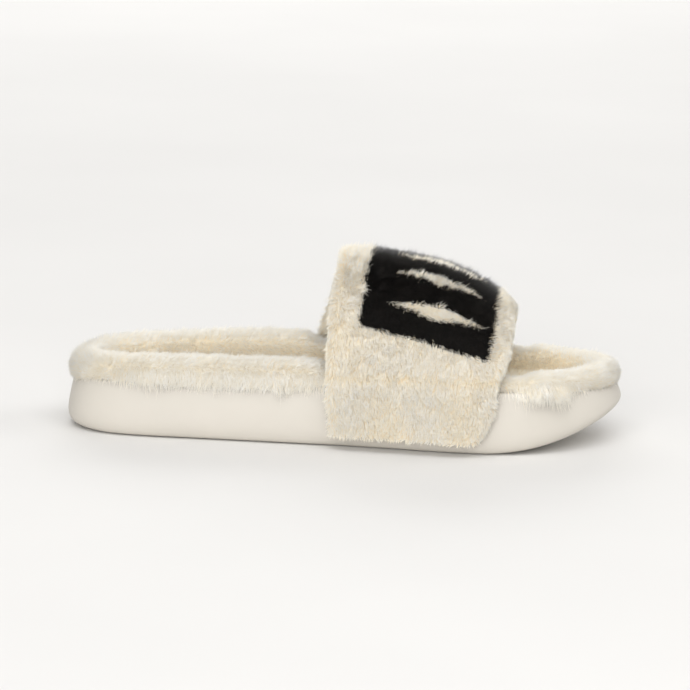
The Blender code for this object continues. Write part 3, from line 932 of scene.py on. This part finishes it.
def strap_point(u, v, w):
    u, v, w = np.broadcast_arrays(np.asarray(u, float), np.asarray(v, float), np.asarray(w, float))
    x = strap_x(u, v)
    half = half_width(x) - STRAP_INSET
    base = top_edge(x)
    crown = strap_crown(x)
    wall = base - bottom(x) - STRAP_FOOT
    turns = np.linspace(math.pi / 2, 0, ARC_STEPS + 1)
    across, up = arch(turns)
    steps = np.hypot(np.diff(across) * half[..., None], np.diff(up) * (crown - base)[..., None])
    lengths = np.concatenate([np.zeros((*x.shape, 1)), np.cumsum(steps, axis=-1)], axis=-1)
    wanted = np.clip(np.abs(v) / ARCH_SHARE, 0, 1) * lengths[..., -1]
    place = np.clip((lengths < wanted[..., None]).sum(axis=-1), 1, ARC_STEPS)
    before = np.take_along_axis(lengths, place[..., None] - 1, axis=-1)[..., 0]
    after = np.take_along_axis(lengths, place[..., None], axis=-1)[..., 0]
    part = np.clip((wanted - before) / (after - before), 0, 1)
    turn = turns[place - 1] + part * (turns[place] - turns[place - 1])
    across, up = arch(turn)
    y = (half + w) * across
    z = base + (crown + w - base) * up
    low = np.abs(v) > ARCH_SHARE
    y = np.where(low, half + w, y)
    z = np.where(low, base - wall * (np.abs(v) - ARCH_SHARE) / (1 - ARCH_SHARE), z)
    return np.stack([x, centre_line(x) + np.copysign(y, v), z], axis=-1)


def fanned(u, v):
    """The v of a place in the plush, whose inlay fans out towards the front edge."""
    share = np.clip((u - INLAY_U[0]) / (INLAY_U[1] - INLAY_U[0]), 0, 1)
    side = INLAY_V * (INLAY_REAR + (1 - INLAY_REAR) * share)
    beyond = side + (np.abs(v) - INLAY_V) * (1 - side) / (1 - INLAY_V)
    return np.copysign(np.where(np.abs(v) <= INLAY_V, np.abs(v) * side / INLAY_V, beyond), v)


def closed_slab(name, us, vs, low, high, finishes, sharp):
    """A closed solid between two sheets over a (u, v) grid."""
    u, v = np.meshgrid(us, vs, indexing="ij")
    sheets = [strap_point(u, v, w).reshape(-1, 3) for w in (low, high)]
    return add_mesh(name, np.concatenate(sheets), slab_faces(*u.shape), finishes, sharp=sharp)


def make_strap_layers():
    us = np.linspace(LAYER_MARGIN, 1 - LAYER_MARGIN, 40)
    vs = np.linspace(-LAYER_END, LAYER_END, 120)
    foam = closed_slab("strap_padding", us, vs, *FOAM, [open_cell_foam()], sharp=50)
    ride(foam, "strap_foam")
    tape = woven("reinforcing_cloth", (0.74, 0.71, 0.64), 0.9 * MM)
    all_vs = np.linspace(-0.97, 0.97, 150)
    layer = closed_slab("strap_backing_cloth", us, all_vs, *REINFORCEMENT, [tape], sharp=50)
    ride(layer, "strap_reinforcement")

    values = {"turn": 0.5, "roughness": 0.9, "Sheen_Weight": 0.5}
    knit = woven("brushed_knit", (0.80, 0.74, 0.62), 0.8 * MM, **values)
    us = np.linspace(LAYER_MARGIN - 0.006, 1.006 - LAYER_MARGIN, 60)
    u, v = np.meshgrid(us, np.linspace(-LAYER_END, LAYER_END, 180), indexing="ij")
    inset = np.minimum(u - us[0], us[-1] - u) * STRAP_LENGTH
    tuck_inset, tuck_depth, tuck_width = 5 * MM, 0.9 * MM, 0.9 * MM
    tuck = tuck_depth * np.exp(-(((inset - tuck_inset) / tuck_width) ** 2))
    low, high = LINING[0] + tuck, LINING[1]
    lining = closed_slab("strap_inner_lining", us, v[0], low, high, [knit], sharp=60)
    ride(lining, "strap_lining")


def strap_section(low):
    """The plush ground's section from its inner rear edge round to its inner front edge, as u and w.

    low is the height of the inner edge over the strap's inner face.
    """
    middle, rise = (GROUND_W + low) / 2, (GROUND_W - low) / 2
    turn = np.linspace(-math.pi / 2, math.pi / 2, 12)
    reach = 2.4 * MM / STRAP_LENGTH
    rear_u = LAYER_MARGIN - 0.008 - reach * np.cos(turn)
    edge_w = middle + rise * np.sin(turn)
    flat = np.linspace(LAYER_MARGIN, 1 - LAYER_MARGIN, 70)
    us = np.concatenate([rear_u, flat, 1 - rear_u[::-1]])
    ws = np.concatenate([edge_w, np.full(len(flat), GROUND_W), edge_w[::-1]])
    return us, ws


def make_strap_plush():
    """The plush, wrapped round the strap's edges to the lining, and to the cloth beside the sole."""
    sections = []
    for v in np.linspace(-0.98, 0.98, 190):
        low = (0.35 + 4.9 * smooth(0.70, 0.78, abs(v))) * MM
        us, ws = strap_section(low)
        sections.append(np.stack([us, np.full(len(us), v), ws], axis=-1))
    grid = np.array(sections).transpose(1, 0, 2)
    u, v, w = grid[..., 0], grid[..., 1], grid[..., 2]
    points = strap_point(u, fanned(u, v), w).reshape(-1, 3)
    shape = u.shape
    triangles = triangles_of(grid_faces(*shape).tolist())
    surface = Surface(points, triangles, (points - STRAP_AXIS) * [0, 1, 1])
    u, v, w = u.ravel(), v.ravel(), w.ravel()
    make_strap_ground(surface, u, v, shape)
    comb_strap_pile(surface, u, v, w, shape)
    grow_strap_pile(surface)


def make_strap_ground(surface, u, v, shape):
    """The ground of the strap's plush: one sheet, wrapped round the strap's two edges."""
    thickness = 0.8 * MM
    inner = surface.points - surface.values["normal"] * thickness
    faces = slab_faces(*shape)
    grounds = [pile_backing("strap_pile_ground", CREAM_GROUND)]
    grounds.append(pile_backing("inlay_pile_ground", BLACK_GROUND))
    middle_u, middle_v = (value[grid_faces(*shape)].mean(axis=1) for value in (u, v))
    black = in_inlay(middle_u, middle_v) & (lozenge_at(middle_u, middle_v) == 0)
    slots = np.concatenate([black, np.zeros(len(faces) - len(black), bool)])
    ground = add_mesh("strap_ground", np.concatenate([surface.points, inner]), faces, grounds, slots)
    ride(ground, "strap_fur")


def in_inlay(u, v):
    return (u > INLAY_U[0]) & (u < INLAY_U[1]) & (np.abs(v) < INLAY_V)


def lozenge_at(u, v):
    """The number of the lozenge at a place, from 1, or 0."""
    found = np.zeros(len(u), int)
    for number, centre in enumerate(LOZENGES, 1):
        reach = np.abs(u - LOZENGE_U) / LOZENGE_HALF[0] + np.abs(v - centre) / LOZENGE_HALF[1]
        found[reach < 1] = number
    return found


def sideways(v):
    """Which way the pile falls: -1 on the outer side, 1 on the inner one and 0 on the crown."""
    return v / np.sqrt(v**2 + 0.02)


def comb_strap_pile(surface, u, v, w, shape):
    """Long soft pile, combed down from the crown and a little towards the toe."""
    grid = surface.points.reshape(*shape, 3)
    down = unit(np.gradient(grid, axis=1).reshape(-1, 3)) * sideways(v)[:, None]
    on_top = smooth(4.5 * MM, 8.9 * MM, w)
    ahead = unit(np.gradient(grid, axis=0).reshape(-1, 3)) * on_top[:, None]
    values = surface.values
    normal = values["normal"]
    flow = COMBED_DOWN * down + COMBED_AHEAD * ahead
    inset = np.minimum(u, 1 - u) * STRAP_LENGTH
    edge = 1 - smooth(2 * MM, 11 * MM, inset)
    foot = smooth(0.86, 0.98, np.abs(v))
    values["start"] = normal + 0.4 * flow
    outwards = unit((surface.points - STRAP_AXIS) * [0, 1, 1]) + 0.4 * UP
    values["shade"] = normal + 1.5 * (edge * on_top)[:, None] * outwards
    values["end"] = normal * (0.58 - 0.25 * foot)[:, None] + 1.1 * flow
    long = 6.0 - 1.1 * smooth(0.15, 0.5, u) - 1.0 * edge - 0.4 * edge * smooth(0.5, 0.9, u)
    short = 2.2 + 2.8 * np.exp(-(((v - 0.62) / 0.2) ** 2)) * (1 - smooth(0.02, 0.12, u))
    values["length"] = (short + np.clip(long - short, 0, None) * on_top) * (1 - 0.3 * foot) * MM
    values["density"] = 0.6 + 0.4 * on_top
    values["u"], values["v"] = u, v
    parting = np.exp(-(((np.abs(fanned(u, v)) - PARTING_V) / 0.02) ** 2)) * on_top
    # Warm tone in random patches, and along the parting as painted shade in its crease.
    values["warmth"] = 0.2 + 0.45 * drift(surface.points, 16 * MM, SEED + 3) + 0.5 * parting
    values["length"] *= 1 - 0.3 * parting


def grow_strap_pile(surface):
    """The strands of the strap's pile, each in the piece and the colour of the place where it is seen."""
    rng = np.random.default_rng(SEED + 1)
    places = surface.scatter(STRAP_DENSITY, rng)
    grown = grow(places, rng, SEED + 30)
    # The pattern shows where the strands lie, a little below and ahead of their roots.
    lie = places["length"] * 0.4
    stray = 0.6 * MM
    seen_u = places["u"] + (COMBED_AHEAD * lie + rng.normal(0, stray, len(lie))) / STRAP_LENGTH
    fall = COMBED_DOWN * sideways(places["v"]) * lie
    seen_v = places["v"] + (fall + rng.normal(0, stray, len(lie))) / HALF_SECTION
    inlaid = in_inlay(seen_u, seen_v)
    lozenge = np.where(inlaid, lozenge_at(seen_u, seen_v), 0)
    cream = pile_tones("strap_cream_pile", CREAM_TONES, CREAM_LOOK)
    dark = pile_tones("black_pile", BLACK_TONES, BLACK_LOOK)

    def part(chosen):
        return [values[chosen] for values in grown]

    strand_pieces("strap_pile", part(~inlaid), cream, "strap_fur")
    strand_pieces("inlay_pile", part(inlaid & (lozenge == 0)), dark, "strap_black_inlay")
    for number in range(1, len(LOZENGES) + 1):
        name, node = f"lozenge_pile_{number}", f"strap_lozenge_{number}"
        strand_pieces(name, part(lozenge == number), cream, node)


STITCH_PITCH, STITCH_LENGTH = 5 * MM, 3.4 * MM
STITCH_U = (0.11, 0.89)


def thread_tube(paths, radius):
    """Closed round threads through paths of points, as one set of points and faces."""
    points, faces = [], []
    for path in paths:
        path = np.asarray(path)
        ahead = unit(np.gradient(path, axis=0))
        side = unit(np.cross(ahead, [0.11, 0.23, 0.97]))
        other = np.cross(ahead, side)
        start, count = len(points), len(path)
        for i in range(count):
            thin = math.sqrt(max(0.05, 1 - (2 * i / (count - 1) - 1) ** 6))
            for turn in np.arange(THREAD_SIDES) * math.tau / THREAD_SIDES:
                out = side[i] * math.cos(turn) + other[i] * math.sin(turn)
                points.append(path[i] + radius * thin * out)
        tube = ring_faces(count, THREAD_SIDES)
        tube += [range(THREAD_SIDES)[::-1], range((count - 1) * THREAD_SIDES, count * THREAD_SIDES)]
        faces += [[start + corner for corner in face] for face in tube]
    return np.array(points), faces


def make_edge_rows(thread):
    """The stitches that close the strap's two edges, each a short thread that dives into the lining."""
    count = int(2 * LAYER_END * HALF_SECTION / STITCH_PITCH) - 3  # three short of the layers' ends
    for name, u in (("strap_rear", STITCH_U[0]), ("strap_front", STITCH_U[1])):
        paths = []
        for i in range(count):
            middle = (i - (count - 1) / 2) * STITCH_PITCH + STITCH_LENGTH / 2
            shares = np.linspace(-0.5, 0.5, 11)
            v = (middle + shares * STITCH_LENGTH) / HALF_SECTION
            depth = (-0.85 + 0.45 * (2 * np.abs(shares)) ** 4) * MM
            paths.append(strap_point(u, v, depth))
        points, faces = thread_tube(paths, 0.32 * MM)
        ride(add_mesh(f"{name}_stitches", points, faces, [thread]), f"{name}_stitch")


def make_label(thread):
    values = {"roughness": 0.4, "depth": 0.00005, "Sheen_Weight": 0.6}
    satin = woven("label_satin", (0.88, 0.86, 0.8), 0.35 * MM, **values)
    us, vs = np.linspace(0.36, 0.64, 40), np.linspace(0.52, 0.62, 20)
    label = closed_slab("size_free_label", us, vs, -1.1 * MM, -0.6 * MM, [satin], sharp=50)
    ride(label, "strap_label")
    for name, u in (("label_rear", 0.38), ("label_front", 0.62)):
        shares = np.linspace(-1, 1, 65)
        zigzag = np.abs((np.arange(65) / 4) % 2 - 1) - 0.5
        path = strap_point(u + 0.009 * zigzag, 0.57 + 0.038 * shares, -1.55 * MM)
        points, faces = thread_tube([path], 0.22 * MM)
        ride(add_mesh(f"{name}_bartack", points, faces, [thread]), f"{name}_stitch")


# The picture

TARGET = Vector((0, 0, 43 * MM))
AZIMUTH, ELEVATION, ROLL = math.radians(3.225), math.radians(11.78), math.radians(1.092)
DISTANCE = 2.415
LENS, SHIFT_Y = 268.5, -0.0085


def make_camera():
    level = math.cos(ELEVATION)
    back = Vector((math.sin(AZIMUTH) * level, -math.cos(AZIMUTH) * level, math.sin(ELEVATION)))
    right = Vector((math.cos(AZIMUTH), math.sin(AZIMUTH), 0))
    right = right * math.cos(ROLL) + back.cross(right) * math.sin(ROLL)
    up = back.cross(right)
    camera = add_object("camera", bpy.data.cameras.new("camera"))
    place = TARGET + back * DISTANCE
    rows = [(right[i], up[i], back[i], place[i]) for i in range(3)]
    camera.matrix_world = Matrix([*rows, (0, 0, 0, 1)])
    camera.data.lens = LENS
    camera.data.shift_y = SHIFT_Y
    camera.data.clip_end = 100
    bpy.context.scene.camera = camera


def add_light(name, place, size, power):
    light = bpy.data.lights.new(name, "AREA")
    light.shape = "RECTANGLE"
    light.size, light.size_y = size
    light.energy = power
    lamp = add_object(name, light)
    lamp.location = place
    lamp.rotation_euler = (TARGET - Vector(place)).to_track_quat("-Z", "Y").to_euler()


def make_stage():
    """A pale floor, a pale world and large soft lights above, in front and behind."""
    finish = Finish("pale_floor", (0.73, 0.72, 0.705), 0.8)
    finish.shade(finish.noise(3, 3), 0.975, 1.025)
    size = 15
    points = [(-size, -size, 0), (size, -size, 0), (size, size, 0), (-size, size, 0)]
    add_mesh("floor", points, [(0, 1, 2, 3)], [finish.material])
    world = bpy.data.worlds.new("studio")
    world.use_nodes = True
    background = world.node_tree.nodes["Background"]
    background.inputs["Color"].default_value = (1, 0.99, 0.97, 1)
    background.inputs["Strength"].default_value = 0.39
    bpy.context.scene.world = world
    add_light("key", (-0.3, -2.6, 0.85), (1.8, 1.2), 45)
    add_light("top", (0.2, -0.9, 2.2), (2.4, 1.8), 31)
    add_light("fill", (2.0, 0.3, 1.3), (1.6, 1.2), 12)
    add_light("back", (-0.4, 2.6, 1.1), (2.2, 1.4), 34)
    bpy.context.scene.view_settings.view_transform = "Standard"


def main():
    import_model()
    make_camera()
    make_stage()
    thread = twisted_thread()
    make_sole()
    make_insole()
    make_cushion()
    make_footbed()
    make_edge_stitch(thread)
    make_strap_layers()
    make_strap_plush()
    make_edge_rows(thread)
    make_label(thread)


main()
